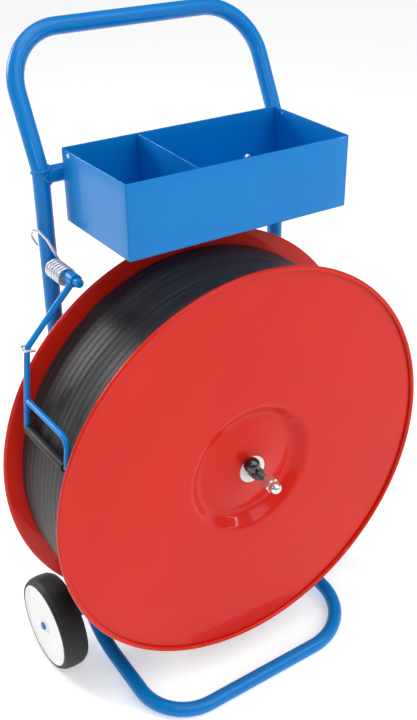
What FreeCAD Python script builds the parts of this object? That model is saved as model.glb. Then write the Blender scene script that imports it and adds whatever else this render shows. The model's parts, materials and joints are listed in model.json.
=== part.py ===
# Strapping band dispenser trolley: a wheeled tube frame that carries a large reel of
# plastic strapping band, a tool tray and a sprung brake arm.
#
# Working frame: X to the trolley's right, Y to the back, Z up, millimetres. The sizes
# below are measured from the plane of the uprights (y = 0). Before export every piece is
# moved along Y, so that the origin lies under the middle of the whole trolley.

import FreeCAD, Part
import math
import os

V = FreeCAD.Vector

# ---- driving dimensions: frame ----
tube_radius = 11.0
tube_wall = 1.5
frame_half_width = 182.4
elbow_height = 757.5
handle_lean_deg = 27.3
handle_length = 170.0
handle_bend = 74.0
upright_foot = 160.0
leg_corner_height = 30.0
rear_bend = 114.0
base_half_width = 182.0
base_shift = -4.0
front_bar_y_left = -261.0
front_bar_y_right = -255.0
left_corner_bend = 72.0
right_corner_bend = 98.0
crossbar_height = 751.7

# ---- driving dimensions: reel ----
flange_radius = 300.0
spindle_height = 352.6
front_face_y = -203.2
rear_face_y = -50.8
sheet = 1.5
rim_height = 5.4
bowl_radius = 98.6
bowl_floor_radius = 80.0
bowl_depth = 17.0
boss_radius = 24.0
boss_depth = 2.0
boss_bend = 6.0
dish_bend = 11.0
bowl_edge_bend = 3.5
bowl_edge_back_bend = 2.5
rim_curl_deg = 205.0
coil_radius = 276.2
drum_radius = 202.5
core_play = 0.5
core_wall = 4.0
rod_radius = 6.0
journal_radius = 10.0
rod_tip_y = -257.0
nut_back_y = -237.0
nut_across_flats = 19.0
nut_hex_height = 14.0
nut_neck = 5.0
dome_radius = 8.6
nut_bore_spare = 1.0
nut_bevel_start = 0.2
nut_bevel_spread = 14.0
housing_front_y = -42.0
housing_rear_y = 16.0
housing_radius = 18.0
bush_radius = 13.0
bush_depth = 20.0
bush_collar = 2.5
bush_collar_radius = 16.0
tail_washer_radius = 15.0
tail_washer_thickness = 1.2
tail_clip_radius = 13.0
tail_clip_thickness = 1.2
tail_groove_radius = 9.0
tail_groove_width = 1.4
tail_groove_setback = 3.2
tail_length = 9.0
tail_clip_play = 0.1
tail_clip_mouth = 5.0
shoulder_radius = 22.0
shoulder_thickness = 4.0
hub_tube_radius = 13.0
drum_wall = 2.0
drum_lip = 22.0
drum_front_gap = 2.5
coil_front_gap = 0.8

# ---- driving dimensions: spindle hardware ----
washer_radius = 20.5
washer_thickness = 2.5
collar_gap = 0.1
collar_length = 15.5
collar_radius = 9.5
screw_setback = 11.7
ball_radius = 11.5
ball_reach = 21.2
ball_flat = 10.8
knob_lean_x = -10.7
knob_lean_z = 19.3
stem_radius = 3.0
screw_tip_gap = 0.2
screw_hole_reach = 30.0

# ---- driving dimensions: wheels ----
wheel_radius = 74.0
wheel_width = 38.6
wheel_outer_x = 265.2
hub_radius = 64.8
hub_dish = 1.6
hub_boss_radius = 13.0
hub_boss_slope = 2.0
hub_rim_width = 4.3
hub_rim_slope = 2.5
ring_well_gap = 0.5
ring_inset = 0.2
tyre_shoulder = 7.0
tyre_shoulder_drop = 4.2
tyre_crown = 1.0
axle_radius = 6.0
axle_overhang = 3.0
spacer_radius = 9.0
inner_washer_radius = 11.0
inner_washer_thickness = 2.0
axle_ring_radius = 10.0
axle_y = -38.0

# ---- driving dimensions: tray ----
tray_half_width = 162.4
tray_back_y = -21.0
tray_front_y = -178.0
tray_top = 789.9
tray_floor = 695.6
divider_back_x = -55.6
divider_front_x = -62.6
outer_fold = 2.5
inner_fold = 1.0
divider_end_gap = 0.6
divider_foot_width = 12.0
divider_foot_gap = 0.1
divider_foot_end_gap = 2.0
divider_drop = 1.0
floor_seam_gap = 0.5
bracket_x = 115.0
bracket_width = 30.0
bracket_thickness = 4.0
bracket_drop = 38.0
bracket_rise = 8.0
bracket_web_height = 8.0
bracket_bite = 4.0
screw_drop = 26.0
screw_radius = 3.0
screw_hole_radius = 3.2
screw_head_radius = 6.0
screw_head_height = 3.5
screw_head_rounding = 2.0
screw_reach = 12.0
screw_line_inside = 10.0
screw_line_behind = 20.0
screw_nut_across_flats = 10.0
screw_nut_height = 5.0
rivet_radius = 2.0
rivet_inset = 18.5
rivet_drop = 5.6
rivet_head_sphere = 3.6
rivet_head_sink = 2.2

# ---- driving dimensions: brake arm ----
pivot_height = 638.0
pin_radius = 6.0
pin_tip_y = -86.0
sleeve_radius = 8.5
sleeve_back_y = -58.5
sleeve_front_y = -75.0
pin_tip_rounding = 2.5
arm_rod_radius = 4.0
arm_plane_y = -68.0
elbow_point = (-254.0, 562.0)
loop_bar_point = (-262.0, 489.0)
guide_front_y = -181.0
guide_bend = 14.0
elbow_bend = 22.0
lower_bend = 60.0
brake_bar_radius = 3.0
brake_radius = 6.5
brake_gap = 0.3
rubber_end_gap = 0.5
brake_angle_deg = 160.3
spring_wire = 3.8
spring_mean_radius = 11.2
spring_turns = 6
spring_coil_gap = 2.9
spring_sag_x = -2.2
spring_sag_z = -2.1
spring_start_y = -15.5

# ---- fits ----
running_gap = 0.05
slip_gap = 0.3

# ---- derived sizes ----
lean = math.radians(handle_lean_deg)
handle_top_y = handle_length * math.sin(lean)
handle_top_z = elbow_height + handle_length * math.cos(lean)
nut_tip_y = nut_back_y - nut_hex_height - nut_neck - dome_radius
brake_angle = math.radians(brake_angle_deg)
brake_reach = coil_radius + brake_gap + brake_radius
brake_x = brake_reach * math.cos(brake_angle)
brake_z = spindle_height + brake_reach * math.sin(brake_angle)
trolley_back_y = handle_top_y + tube_radius
origin_shift_y = -(nut_tip_y + trolley_back_y) / 2


# ---------------------------------------------------------------- geometry helpers
def turned_corner(before, corner, after, radius):
    """Where an arc of this radius starts, peaks and ends as it rounds the corner."""
    towards_before = (before - corner).normalize()
    towards_after = (after - corner).normalize()
    half = towards_before.getAngle(towards_after) / 2
    start = corner + towards_before * (radius / math.tan(half))
    end = corner + towards_after * (radius / math.tan(half))
    middle_line = (towards_before + towards_after).normalize()
    peak = corner + middle_line * (radius / math.sin(half) - radius)
    return start, peak, end


def rounded_path(points, radii):
    """Straight runs through the points, with each inner corner rounded by its radius."""
    edges = []
    here = points[0]
    for i, radius in enumerate(radii, start=1):
        if radius <= 0:
            edges.append(Part.LineSegment(here, points[i]).toShape())
            here = points[i]
            continue
        start, peak, end = turned_corner(points[i - 1], points[i], points[i + 1], radius)
        if here.distanceToPoint(start) > 1e-6:
            edges.append(Part.LineSegment(here, start).toShape())
        edges.append(Part.Arc(start, peak, end).toShape())
        here = end
    edges.append(Part.LineSegment(here, points[-1]).toShape())
    return edges


def bent_rod(points, radii, radius):
    """A round bar along a path with rounded corners."""
    path = Part.Wire(rounded_path(points, radii))
    direction = points[1] - points[0]
    section = Part.Wire([Part.Circle(points[0], direction, radius).toShape()])
    return path.makePipeShell([section], True, False)


def bent_tube(points, radii, radius, wall):
    """A round tube, open at both ends, along a path with rounded corners."""
    return bent_rod(points, radii, radius).cut(bent_rod(points, radii, radius - wall))


def rod(start, end, radius):
    """A round bar from one point to another."""
    along = end - start
    return Part.makeCylinder(radius, along.Length, start, along)


def ring(start, end, outer, inner):
    """A round sleeve from one point to another, with a bore right through."""
    return rod(start, end, outer).cut(rod(start, end, inner))


def half_space(point, normal):
    """A very large block that lies on the normal's side of the point."""
    size = 4000.0
    block = Part.makeBox(size, size, size, V(-size / 2, -size / 2, 0))
    block.Placement = FreeCAD.Placement(point, FreeCAD.Rotation(V(0, 0, 1), normal))
    return block


def spindle_point(y):
    """A point on the reel's axis."""
    return V(0, y, spindle_height)


def polygon_prism(corners, along):
    """A straight prism on a polygon."""
    loop = Part.makePolygon(corners + [corners[0]])
    return Part.Face(loop).extrude(along)


# ---------------------------------------------------------------- frame
def mitre_plane_normal():
    return V(0, math.sin(lean / 2), math.cos(lean / 2))


def handle_points():
    """The handle's centreline: up one side, across the top and down the other."""
    foot_drop = 30.0
    foot_y = -foot_drop * math.sin(lean)
    foot_z = elbow_height - foot_drop * math.cos(lean)
    return [
        V(-frame_half_width, foot_y, foot_z),
        V(-frame_half_width, handle_top_y, handle_top_z),
        V(frame_half_width, handle_top_y, handle_top_z),
        V(frame_half_width, foot_y, foot_z),
    ]


def make_handle_loop():
    """The leaning handle, cut on the mitre where it meets the uprights."""
    tube = bent_tube(handle_points(), [handle_bend, handle_bend], tube_radius, tube_wall)
    return tube.common(half_space(V(0, 0, elbow_height), mitre_plane_normal()))


def make_upright(side):
    """One vertical tube, from the base loop up to the mitre."""
    x = side * frame_half_width
    tube = ring(V(x, 0, upright_foot), V(x, 0, elbow_height + 2 * tube_radius),
                tube_radius, tube_radius - tube_wall)
    return tube.cut(half_space(V(0, 0, elbow_height), mitre_plane_normal()))


def base_points():
    """The base loop's centreline: down, forward, across the front and back again."""
    left_x = base_shift - base_half_width
    right_x = base_shift + base_half_width
    return [
        V(-frame_half_width, 0, upright_foot),
        V(-frame_half_width, 0, leg_corner_height),
        V(left_x, front_bar_y_left, tube_radius),
        V(right_x, front_bar_y_right, tube_radius),
        V(frame_half_width, 0, leg_corner_height),
        V(frame_half_width, 0, upright_foot),
    ]


def axle_rod():
    """One bar right across the trolley, welded inside the rear bends."""
    reach = wheel_outer_x + axle_overhang
    return rod(V(-reach, axle_y, wheel_radius), V(reach, axle_y, wheel_radius), axle_radius)


def base_bends():
    return [rear_bend, left_corner_bend, right_corner_bend, rear_bend]


def make_base_loop():
    """The floor loop. The axle is welded into a shallow notch inside its rear bends."""
    loop = bent_tube(base_points(), base_bends(), tube_radius, tube_wall)
    return loop.cut(axle_rod())


def upright_envelope():
    """The uprights and the handle's feet as solid bars, to cope other tubes against."""
    bars = []
    for side in (-1, 1):
        x = side * frame_half_width
        bars.append(rod(V(x, 0, 0), V(x, 0, elbow_height), tube_radius))
    bars.append(bent_rod(handle_points(), [handle_bend, handle_bend], tube_radius))
    return bars


def coped(shape):
    """Trim a crossing piece where it meets the uprights and the handle."""
    for bar in upright_envelope():
        shape = shape.cut(bar)
    biggest = max(shape.Solids, key=lambda solid: solid.Volume)
    return biggest


def make_upper_crossbar():
    """The tube across the elbows that carries the tray."""
    start = V(-frame_half_width, 0, crossbar_height)
    end = V(frame_half_width, 0, crossbar_height)
    return coped(ring(start, end, tube_radius, tube_radius - tube_wall))


def make_reel_crossbar(side):
    """One of the two tubes between an upright and the spindle housing."""
    start = V(side * frame_half_width, 0, spindle_height)
    tube = ring(start, spindle_point(0), tube_radius, tube_radius - tube_wall)
    housing = rod(spindle_point(housing_front_y), spindle_point(housing_rear_y), housing_radius)
    return coped(tube.cut(housing))


def make_spindle_housing():
    """The thick tube that holds the spindle's two bushes."""
    front = spindle_point(housing_front_y)
    rear = spindle_point(housing_rear_y)
    return ring(front, rear, housing_radius, bush_radius)


def make_spindle_bush(end_y, inward):
    """A collared nylon bush, pressed into one end of the housing."""
    bore = journal_radius + running_gap
    body = ring(spindle_point(end_y), spindle_point(end_y + inward * bush_depth), bush_radius, bore)
    rim = ring(spindle_point(end_y), spindle_point(end_y - inward * bush_collar),
               bush_collar_radius, bore)
    return body.fuse(rim).removeSplitter()


# ---------------------------------------------------------------- tray
def make_tray_bracket(side):
    """A lug welded to the crossbar's front, with the tray bolted to its lower end."""
    low = crossbar_height - bracket_drop
    high = crossbar_height + bracket_rise
    x = side * bracket_x - bracket_width / 2
    plate_front = tray_back_y + slip_gap
    plate = Part.makeBox(bracket_width, bracket_thickness, high - low, V(x, plate_front, low))
    web_back = -tube_radius + bracket_bite
    web = Part.makeBox(bracket_width, web_back - plate_front, bracket_web_height,
                       V(x, plate_front, crossbar_height - bracket_web_height / 2))
    lug = plate.fuse(web)
    lug = lug.cut(rod(V(-frame_half_width, 0, crossbar_height), V(frame_half_width, 0, crossbar_height),
                      tube_radius))
    start, end = screw_line(side)
    return lug.cut(rod(start, end, screw_hole_radius)).removeSplitter()


def screw_line(side):
    """The axis of one tray screw, from inside the tray to behind the bracket."""
    x = side * bracket_x
    z = crossbar_height - screw_drop
    return V(x, tray_back_y - screw_line_inside, z), V(x, tray_back_y + screw_line_behind, z)


def make_tray():
    """An open box folded from sheet, with rounded bends and two screw holes."""
    width = 2 * tray_half_width
    depth = tray_back_y - tray_front_y
    height = tray_top - tray_floor
    corner = V(-tray_half_width, tray_front_y, tray_floor)
    outer = Part.makeBox(width, depth, height, corner)
    bends = [edge for edge in outer.Edges if edge.BoundBox.ZMin < tray_top - 1]
    outer = outer.makeFillet(outer_fold, bends)
    inner = Part.makeBox(width - 2 * sheet, depth - 2 * sheet, height, corner + V(sheet, sheet, sheet))
    inner_bends = [edge for edge in inner.Edges if edge.BoundBox.ZMin < tray_top - 1]
    box = outer.cut(inner.makeFillet(inner_fold, inner_bends))
    for side in (-1, 1):
        start, end = screw_line(side)
        box = box.cut(rod(start, end, screw_hole_radius))
    for line in rivet_lines():
        box = box.cut(rod(line[0], line[1], rivet_radius))
    return parted_beside_divider(box)


def parted_beside_divider(box):
    """The same tray, with its floor parted into a face on each side of the divider's foot."""
    beside = divider_foot_width + floor_seam_gap
    right_part = divider_strip(beside, 2 * tray_half_width, tray_floor - sheet, tray_top + sheet, -2 * sheet)
    return box.cut(right_part).fuse(box.common(right_part))


def divider_strip(left, right, low, high, end_gap):
    """A slab beside the divider's slightly skewed line, from wall to wall of the tray."""
    back = tray_back_y - sheet - end_gap
    front = tray_front_y + sheet + end_gap
    corners = [
        V(divider_back_x + left, back, low),
        V(divider_back_x + right, back, low),
        V(divider_front_x + right, front, low),
        V(divider_front_x + left, front, low),
    ]
    return polygon_prism(corners, V(0, 0, high - low))


def make_tray_divider():
    """The loose-fitting upright plate, folded at its foot, that parts the tray in two."""
    foot = tray_floor + sheet + divider_foot_gap
    plate = divider_strip(-sheet / 2, sheet / 2, foot, tray_top - divider_drop, divider_end_gap)
    lip = divider_strip(-sheet / 2, divider_foot_width, foot, foot + sheet, divider_foot_end_gap)
    return plate.fuse(lip).removeSplitter()


def make_tray_screws():
    """Two round-headed screws through the tray's back wall."""
    screws = []
    for side in (-1, 1):
        start, end = screw_line(side)
        inside = V(start.x, tray_back_y - sheet, start.z)
        shank = rod(inside, V(start.x, tray_back_y + screw_reach, start.z), screw_radius)
        head = rod(inside, inside + V(0, -screw_head_height, 0), screw_head_radius)
        head = head.makeFillet(screw_head_rounding, [head.Edges[2]])
        screws.append(shank.fuse(head).removeSplitter())
    return screws


def make_tray_nuts():
    """The two hexagon nuts behind the brackets."""
    nuts = []
    for side in (-1, 1):
        start, end = screw_line(side)
        face = tray_back_y + slip_gap + bracket_thickness
        nut = hexagon(V(start.x, face, start.z), V(0, screw_nut_height, 0), screw_nut_across_flats)
        nuts.append(nut.cut(rod(start, end, screw_radius)))
    return nuts


def hexagon(centre, along, across_flats):
    """A hexagonal bar standing on a point, along Y."""
    reach = across_flats / math.sqrt(3)
    corners = []
    for k in range(6):
        turn = math.radians(60 * k)
        corners.append(centre + V(reach * math.cos(turn), 0, reach * math.sin(turn)))
    return polygon_prism(corners, along)


def rivet_lines():
    """The axes of the rivets that close the tray's rear corners."""
    lines = []
    for side in (-1, 1):
        wall = side * tray_half_width
        y = tray_back_y - rivet_inset
        z = tray_top - rivet_drop
        lines.append((V(wall - side * sheet, y, z), V(wall, y, z)))
    return lines


def make_tray_rivets():
    """Two pop rivets, with low domed heads outside."""
    rivets = []
    for inside, outside in rivet_lines():
        out = (outside - inside).normalize()
        head = Part.makeSphere(rivet_head_sphere, outside - out * rivet_head_sink)
        head = head.common(rod(outside, outside + out * rivet_head_sphere, rivet_head_sphere))
        rivets.append(rod(inside, outside, rivet_radius).fuse(head))
    return rivets


# ---------------------------------------------------------------- wheels
def wheel_spot(side, depth):
    """A point on the axle, measured inwards from a wheel's outer face."""
    return V(side * (wheel_outer_x - depth), axle_y, wheel_radius)


def make_tyre(side):
    """The solid rubber tyre, with rounded shoulders and a slight crown."""
    half = wheel_width / 2
    edge_radius = wheel_radius - tyre_crown
    shoulder_start = edge_radius - tyre_shoulder_drop
    corners = [
        V(hub_radius, -half, 0),
        V(shoulder_start, -half, 0),
        V(edge_radius, -half + tyre_shoulder, 0),
        V(edge_radius, half - tyre_shoulder, 0),
        V(shoulder_start, half, 0),
        V(hub_radius, half, 0),
    ]
    tread = Part.Arc(corners[2], V(wheel_radius, 0, 0), corners[3]).toShape()
    edges = [
        Part.LineSegment(corners[0], corners[1]).toShape(),
        Part.LineSegment(corners[1], corners[2]).toShape(),
        tread,
        Part.LineSegment(corners[3], corners[4]).toShape(),
        Part.LineSegment(corners[4], corners[5]).toShape(),
        Part.LineSegment(corners[5], corners[0]).toShape(),
    ]
    return turned_about_axle(edges, side)


def turned_about_axle(edges, side):
    """Turn an outline, drawn as (radius, distance outwards), about the axle."""
    solid = Part.Face(Part.Wire(edges)).revolve(V(0, 0, 0), V(0, 1, 0), 360)
    solid.rotate(V(0, 0, 0), V(0, 0, 1), -90 * side)
    solid.translate(wheel_spot(side, wheel_width / 2))
    return solid


def make_wheel_hub(side):
    """The white plastic wheel: a solid disc with a shallow dish in each face and a raised boss."""
    half = wheel_width / 2
    bore = axle_radius + running_gap
    face = half - hub_dish
    rim = hub_radius - hub_rim_width
    dish_end = rim - hub_rim_slope
    boss = hub_boss_radius
    dish_start = boss + hub_boss_slope
    well = axle_ring_radius + ring_well_gap
    outline = [
        (bore, -half), (boss, -half), (dish_start, -face), (dish_end, -face), (rim, -half),
        (hub_radius, -half), (hub_radius, half), (rim, half), (dish_end, face),
        (dish_start, face), (boss, half), (well, half), (well, face), (bore, face),
    ]
    corners = [V(r, along, 0) for r, along in outline]
    edges = [Part.LineSegment(corners[i - 1], corners[i]).toShape() for i in range(len(corners))]
    return turned_about_axle(edges, side)


def make_inner_washer(side):
    """The washer on the axle behind each wheel."""
    start = wheel_spot(side, wheel_width + slip_gap)
    end = wheel_spot(side, wheel_width + slip_gap + inner_washer_thickness)
    return ring(start, end, inner_washer_radius, axle_radius)


def make_axle_spacer(side):
    """The tube on the axle between the base loop's leg and the washer."""
    start = wheel_spot(side, wheel_width + slip_gap + inner_washer_thickness)
    end = V(side * frame_half_width, axle_y, wheel_radius)
    spacer = ring(start, end, spacer_radius, axle_radius)
    return spacer.cut(bent_rod(base_points(), base_bends(), tube_radius))


def make_axle_ring(side):
    """The push-on ring that keeps each wheel on, in the hub's shallow counterbore."""
    start = wheel_spot(side, hub_dish - slip_gap)
    end = wheel_spot(side, ring_inset)
    return ring(start, end, axle_ring_radius, axle_radius)


# ---------------------------------------------------------------- reel
def offset_outline(points, distance):
    """The same open outline, moved sideways by a distance, with mitred corners."""
    moved = []
    for i, point in enumerate(points):
        before = points[max(i - 1, 0)]
        after = points[min(i + 1, len(points) - 1)]
        into = (point - before) if i > 0 else (after - point)
        out = (after - point) if i < len(points) - 1 else into
        into = into.normalize()
        out = out.normalize()
        normal_in = V(into.y, -into.x, 0)
        normal_out = V(out.y, -out.x, 0)
        mean = (normal_in + normal_out).normalize()
        moved.append(point + mean * (distance / mean.dot(normal_in)))
    return moved


def make_flange(face_y, outward):
    """A pressed steel disc: curled rim, flat face, dished middle and clearance hole."""
    hole = rod_radius + slip_gap
    outer_curl = (rim_height + sheet) / 2
    inner_curl = outer_curl - sheet
    curl_r = flange_radius - outer_curl
    face = [
        V(hole, -boss_depth, 0),
        V(boss_radius, -boss_depth, 0),
        V(bowl_floor_radius, -bowl_depth, 0),
        V(bowl_radius, 0, 0),
        V(curl_r, 0, 0),
    ]
    back = offset_outline(face, sheet)
    face_bends = [boss_bend, dish_bend, bowl_edge_bend]
    back_bends = [boss_bend - sheet, dish_bend + sheet, bowl_edge_back_bend]
    curl_end = math.radians(rim_curl_deg)
    curl_centre = V(curl_r, inner_curl, 0)
    def curl_at(radius, angle):
        return curl_centre + V(radius * math.cos(angle), radius * math.sin(angle), 0)
    middle = (curl_end - math.pi / 2) / 2
    edges = rounded_path(face, face_bends)
    edges.append(Part.Arc(curl_at(inner_curl, -math.pi / 2), curl_at(inner_curl, middle),
                          curl_at(inner_curl, curl_end)).toShape())
    edges.append(Part.LineSegment(curl_at(inner_curl, curl_end), curl_at(outer_curl, curl_end)).toShape())
    edges.append(Part.Arc(curl_at(outer_curl, curl_end), curl_at(outer_curl, middle),
                          curl_at(outer_curl, -math.pi / 2)).toShape())
    edges.extend(rounded_path(back[::-1], back_bends[::-1]))
    edges.append(Part.LineSegment(back[0], face[0]).toShape())
    outline = Part.Wire(Part.__sortEdges__(edges))
    solid = Part.Face(outline).revolve(V(0, 0, 0), V(0, 1, 0), 360)
    if outward < 0:
        solid = solid.mirror(V(0, 0, 0), V(0, 1, 0))
    solid.translate(V(0, face_y, spindle_height))
    return solid


def boss_y(face_y, outward, depth_behind):
    """The y of the flange's middle: its outside face, or deeper behind that."""
    return face_y - outward * (boss_depth + depth_behind)


def make_spindle():
    """The turned spindle: a journal for the bushes, then a threaded rod to the front."""
    step_y = boss_y(rear_face_y, 1, 0)
    journal = rod(spindle_point(housing_rear_y + tail_length), spindle_point(step_y), journal_radius)
    thread = rod(spindle_point(step_y), spindle_point(rod_tip_y), rod_radius)
    groove_back = housing_rear_y + tail_length - tail_groove_setback
    groove = ring(spindle_point(groove_back), spindle_point(groove_back - tail_groove_width),
                  journal_radius + 1, tail_groove_radius)
    return journal.fuse(thread).cut(groove).removeSplitter()


def make_tail_washer():
    """The thrust washer behind the housing."""
    start = spindle_point(housing_rear_y + bush_collar + slip_gap)
    return ring(start, start + V(0, tail_washer_thickness, 0), tail_washer_radius, journal_radius)


def make_tail_clip():
    """The circlip in the groove at the spindle's tail."""
    back = housing_rear_y + tail_length - tail_groove_setback - tail_clip_play
    clip = ring(spindle_point(back), spindle_point(back - tail_clip_thickness),
                tail_clip_radius, tail_groove_radius)
    mouth = tail_clip_mouth
    slot = Part.makeBox(mouth, mouth, 4 * mouth, V(-mouth / 2, back - mouth / 2, spindle_height - 4 * mouth))
    return clip.cut(slot)


def make_shoulder_disc():
    """The welded disc on the spindle that the rear flange bears on."""
    face = boss_y(rear_face_y, 1, 0)
    return ring(spindle_point(face), spindle_point(face + shoulder_thickness), shoulder_radius, journal_radius)


def make_hub_tube():
    """The spacer tube on the rod that keeps the two flanges apart."""
    rear = spindle_point(boss_y(rear_face_y, 1, sheet))
    front = spindle_point(boss_y(front_face_y, -1, sheet) + slip_gap)
    return ring(rear, front, hub_tube_radius, rod_radius + slip_gap)


def make_core_drum():
    """The drum on the rear flange that carries the coil, with a lip to fix it by."""
    rear = rear_face_y - sheet
    front = front_face_y + sheet + drum_front_gap
    shell = ring(spindle_point(rear), spindle_point(front), drum_radius, drum_radius - drum_wall)
    lip = ring(spindle_point(rear), spindle_point(rear - drum_wall), drum_radius, drum_radius - drum_lip)
    return shell.fuse(lip).removeSplitter()


def make_coil_core():
    """The cardboard tube that the strapping is wound on."""
    inner = drum_radius + core_play
    return coil_ring(inner + core_wall, inner)


def coil_ring(outer, inner):
    rear = rear_face_y - sheet - core_play
    front = front_face_y + sheet + coil_front_gap
    return ring(spindle_point(rear), spindle_point(front), outer, inner)


def make_strap_coil():
    """The wound strapping band, from the cardboard core out."""
    return coil_ring(coil_radius, drum_radius + core_play + core_wall)


# ---------------------------------------------------------------- spindle hardware
def washer_back_y():
    return boss_y(front_face_y, -1, 0)


def collar_back_y():
    return washer_back_y() - washer_thickness - collar_gap


def knob_direction():
    return V(knob_lean_x, 0, knob_lean_z).normalize()


def knob_root():
    """Where the clamp screw's axis crosses the spindle's axis."""
    return spindle_point(collar_back_y() - screw_setback)


def make_friction_washer():
    """The white plastic washer between the front flange and the collar."""
    start = spindle_point(washer_back_y())
    return ring(start, start + V(0, -washer_thickness, 0), washer_radius, rod_radius + slip_gap)


def make_clamp_collar():
    """The set collar, drilled and tapped from the side for its clamp screw."""
    start = spindle_point(collar_back_y())
    collar = ring(start, start + V(0, -collar_length, 0), collar_radius, rod_radius + running_gap)
    hole = rod(knob_root(), knob_root() + knob_direction() * screw_hole_reach, stem_radius + running_gap)
    return collar.cut(hole)


def knob_centre():
    return knob_root() + knob_direction() * ball_reach


def make_clamp_screw():
    """The screw that grips the rod, with its outer end inside the ball."""
    start = knob_root() + knob_direction() * (rod_radius + screw_tip_gap)
    return rod(start, knob_centre(), stem_radius)


def make_ball_knob():
    """The black ball on the clamp screw, flattened where it faces the collar."""
    bore = stem_radius + running_gap
    flat_radius = math.sqrt(ball_radius ** 2 - ball_flat ** 2)
    flat_outer = V(flat_radius, 0, -ball_flat)
    top = V(0, 0, ball_radius)
    edges = [
        Part.Arc(flat_outer, V(ball_radius, 0, 0), top).toShape(),
        Part.LineSegment(top, V(0, 0, running_gap)).toShape(),
        Part.LineSegment(V(0, 0, running_gap), V(bore, 0, running_gap)).toShape(),
        Part.LineSegment(V(bore, 0, running_gap), V(bore, 0, -ball_flat)).toShape(),
        Part.LineSegment(V(bore, 0, -ball_flat), flat_outer).toShape(),
    ]
    ball = Part.Face(Part.Wire(edges)).revolve(V(0, 0, 0), V(0, 0, 1), 360)
    ball.Placement = FreeCAD.Placement(knob_centre(), FreeCAD.Rotation(V(0, 0, 1), knob_direction()))
    return ball


def make_dome_nut():
    """The domed cap nut on the rod's end."""
    back = spindle_point(nut_back_y)
    block = hexagon(back, V(0, -nut_hex_height, 0), nut_across_flats)
    reach = nut_across_flats / math.sqrt(3)
    bevel_end = nut_across_flats / 2 - nut_bevel_start
    bevel = Part.makeCone(reach + nut_bevel_spread, bevel_end, nut_hex_height, back, V(0, -1, 0))
    block = block.common(bevel)
    neck_end = nut_back_y - nut_hex_height - nut_neck
    neck = rod(back, spindle_point(neck_end), dome_radius)
    dome = Part.makeSphere(dome_radius, spindle_point(neck_end))
    nut = block.fuse(neck).fuse(dome)
    bore = rod(back, spindle_point(rod_tip_y - nut_bore_spare), rod_radius + running_gap)
    return nut.cut(bore).removeSplitter()


# ---------------------------------------------------------------- brake arm
def pivot_point(y):
    """A point on the brake arm's pivot axis."""
    return V(-frame_half_width, y, pivot_height)


def arm_point(flat_point, y):
    return V(flat_point[0], y, flat_point[1])


def make_pivot_pin():
    """The pin welded to the front of the left upright, with a rounded tip."""
    pin = rod(pivot_point(0), pivot_point(pin_tip_y), pin_radius)
    tip_edges = [edge for edge in pin.Edges if edge.BoundBox.YMax < pin_tip_y + 0.01]
    pin = pin.makeFillet(pin_tip_rounding, tip_edges)
    upright = rod(V(-frame_half_width, 0, upright_foot), V(-frame_half_width, 0, elbow_height), tube_radius)
    return pin.cut(upright)


def make_arm_sleeve():
    """The tube that turns on the pivot pin."""
    back = pivot_point(sleeve_back_y)
    front = pivot_point(sleeve_front_y)
    return ring(back, front, sleeve_radius, pin_radius + running_gap)


def arm_points():
    """The arm's centreline: from the sleeve out to the elbow and down to the brake."""
    return [
        pivot_point(arm_plane_y),
        arm_point(elbow_point, arm_plane_y),
        arm_point(loop_bar_point, arm_plane_y),
        V(brake_x, arm_plane_y, brake_z),
    ]


def make_brake_arm():
    """The bent bar of the arm, coped where it is welded to the sleeve."""
    bar = bent_rod(arm_points(), [elbow_bend, lower_bend], arm_rod_radius)
    return bar.cut(rod(pivot_point(sleeve_back_y), pivot_point(sleeve_front_y), sleeve_radius))


def make_strap_guide():
    """The bar across the band, turned down at its front end to hold the brake bar."""
    corner = arm_point(loop_bar_point, guide_front_y)
    points = [arm_point(loop_bar_point, arm_plane_y), corner, V(brake_x, guide_front_y, brake_z)]
    bar = bent_rod(points, [guide_bend], arm_rod_radius)
    return bar.cut(bent_rod(arm_points(), [elbow_bend, lower_bend], arm_rod_radius))


def make_brake_bar():
    """The thin bar between the two lower ends, inside the rubber."""
    start = V(brake_x, arm_plane_y - arm_rod_radius, brake_z)
    end = V(brake_x, guide_front_y + arm_rod_radius, brake_z)
    return rod(start, end, brake_bar_radius)


def make_brake_rubber():
    """The rubber sleeve that rubs on the coil."""
    start = V(brake_x, arm_plane_y - arm_rod_radius - rubber_end_gap, brake_z)
    end = V(brake_x, guide_front_y + arm_rod_radius + rubber_end_gap, brake_z)
    return ring(start, end, brake_radius, brake_bar_radius)


def make_brake_spring():
    """The coils of the torsion spring, hanging loosely on the pin, without its two legs."""
    pitch = spring_wire + spring_coil_gap
    helix = Part.makeHelix(pitch, pitch * spring_turns, spring_mean_radius)
    helix.rotate(V(0, 0, 0), V(1, 0, 0), 90)
    helix.translate(pivot_point(spring_start_y) + V(spring_sag_x, 0, spring_sag_z))
    start = helix.Edges[0].valueAt(helix.Edges[0].FirstParameter)
    tangent = helix.Edges[0].tangentAt(helix.Edges[0].FirstParameter)
    section = Part.Wire([Part.Circle(start, tangent, spring_wire / 2).toShape()])
    return Part.Wire(helix.Edges).makePipeShell([section], True, True)


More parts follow.
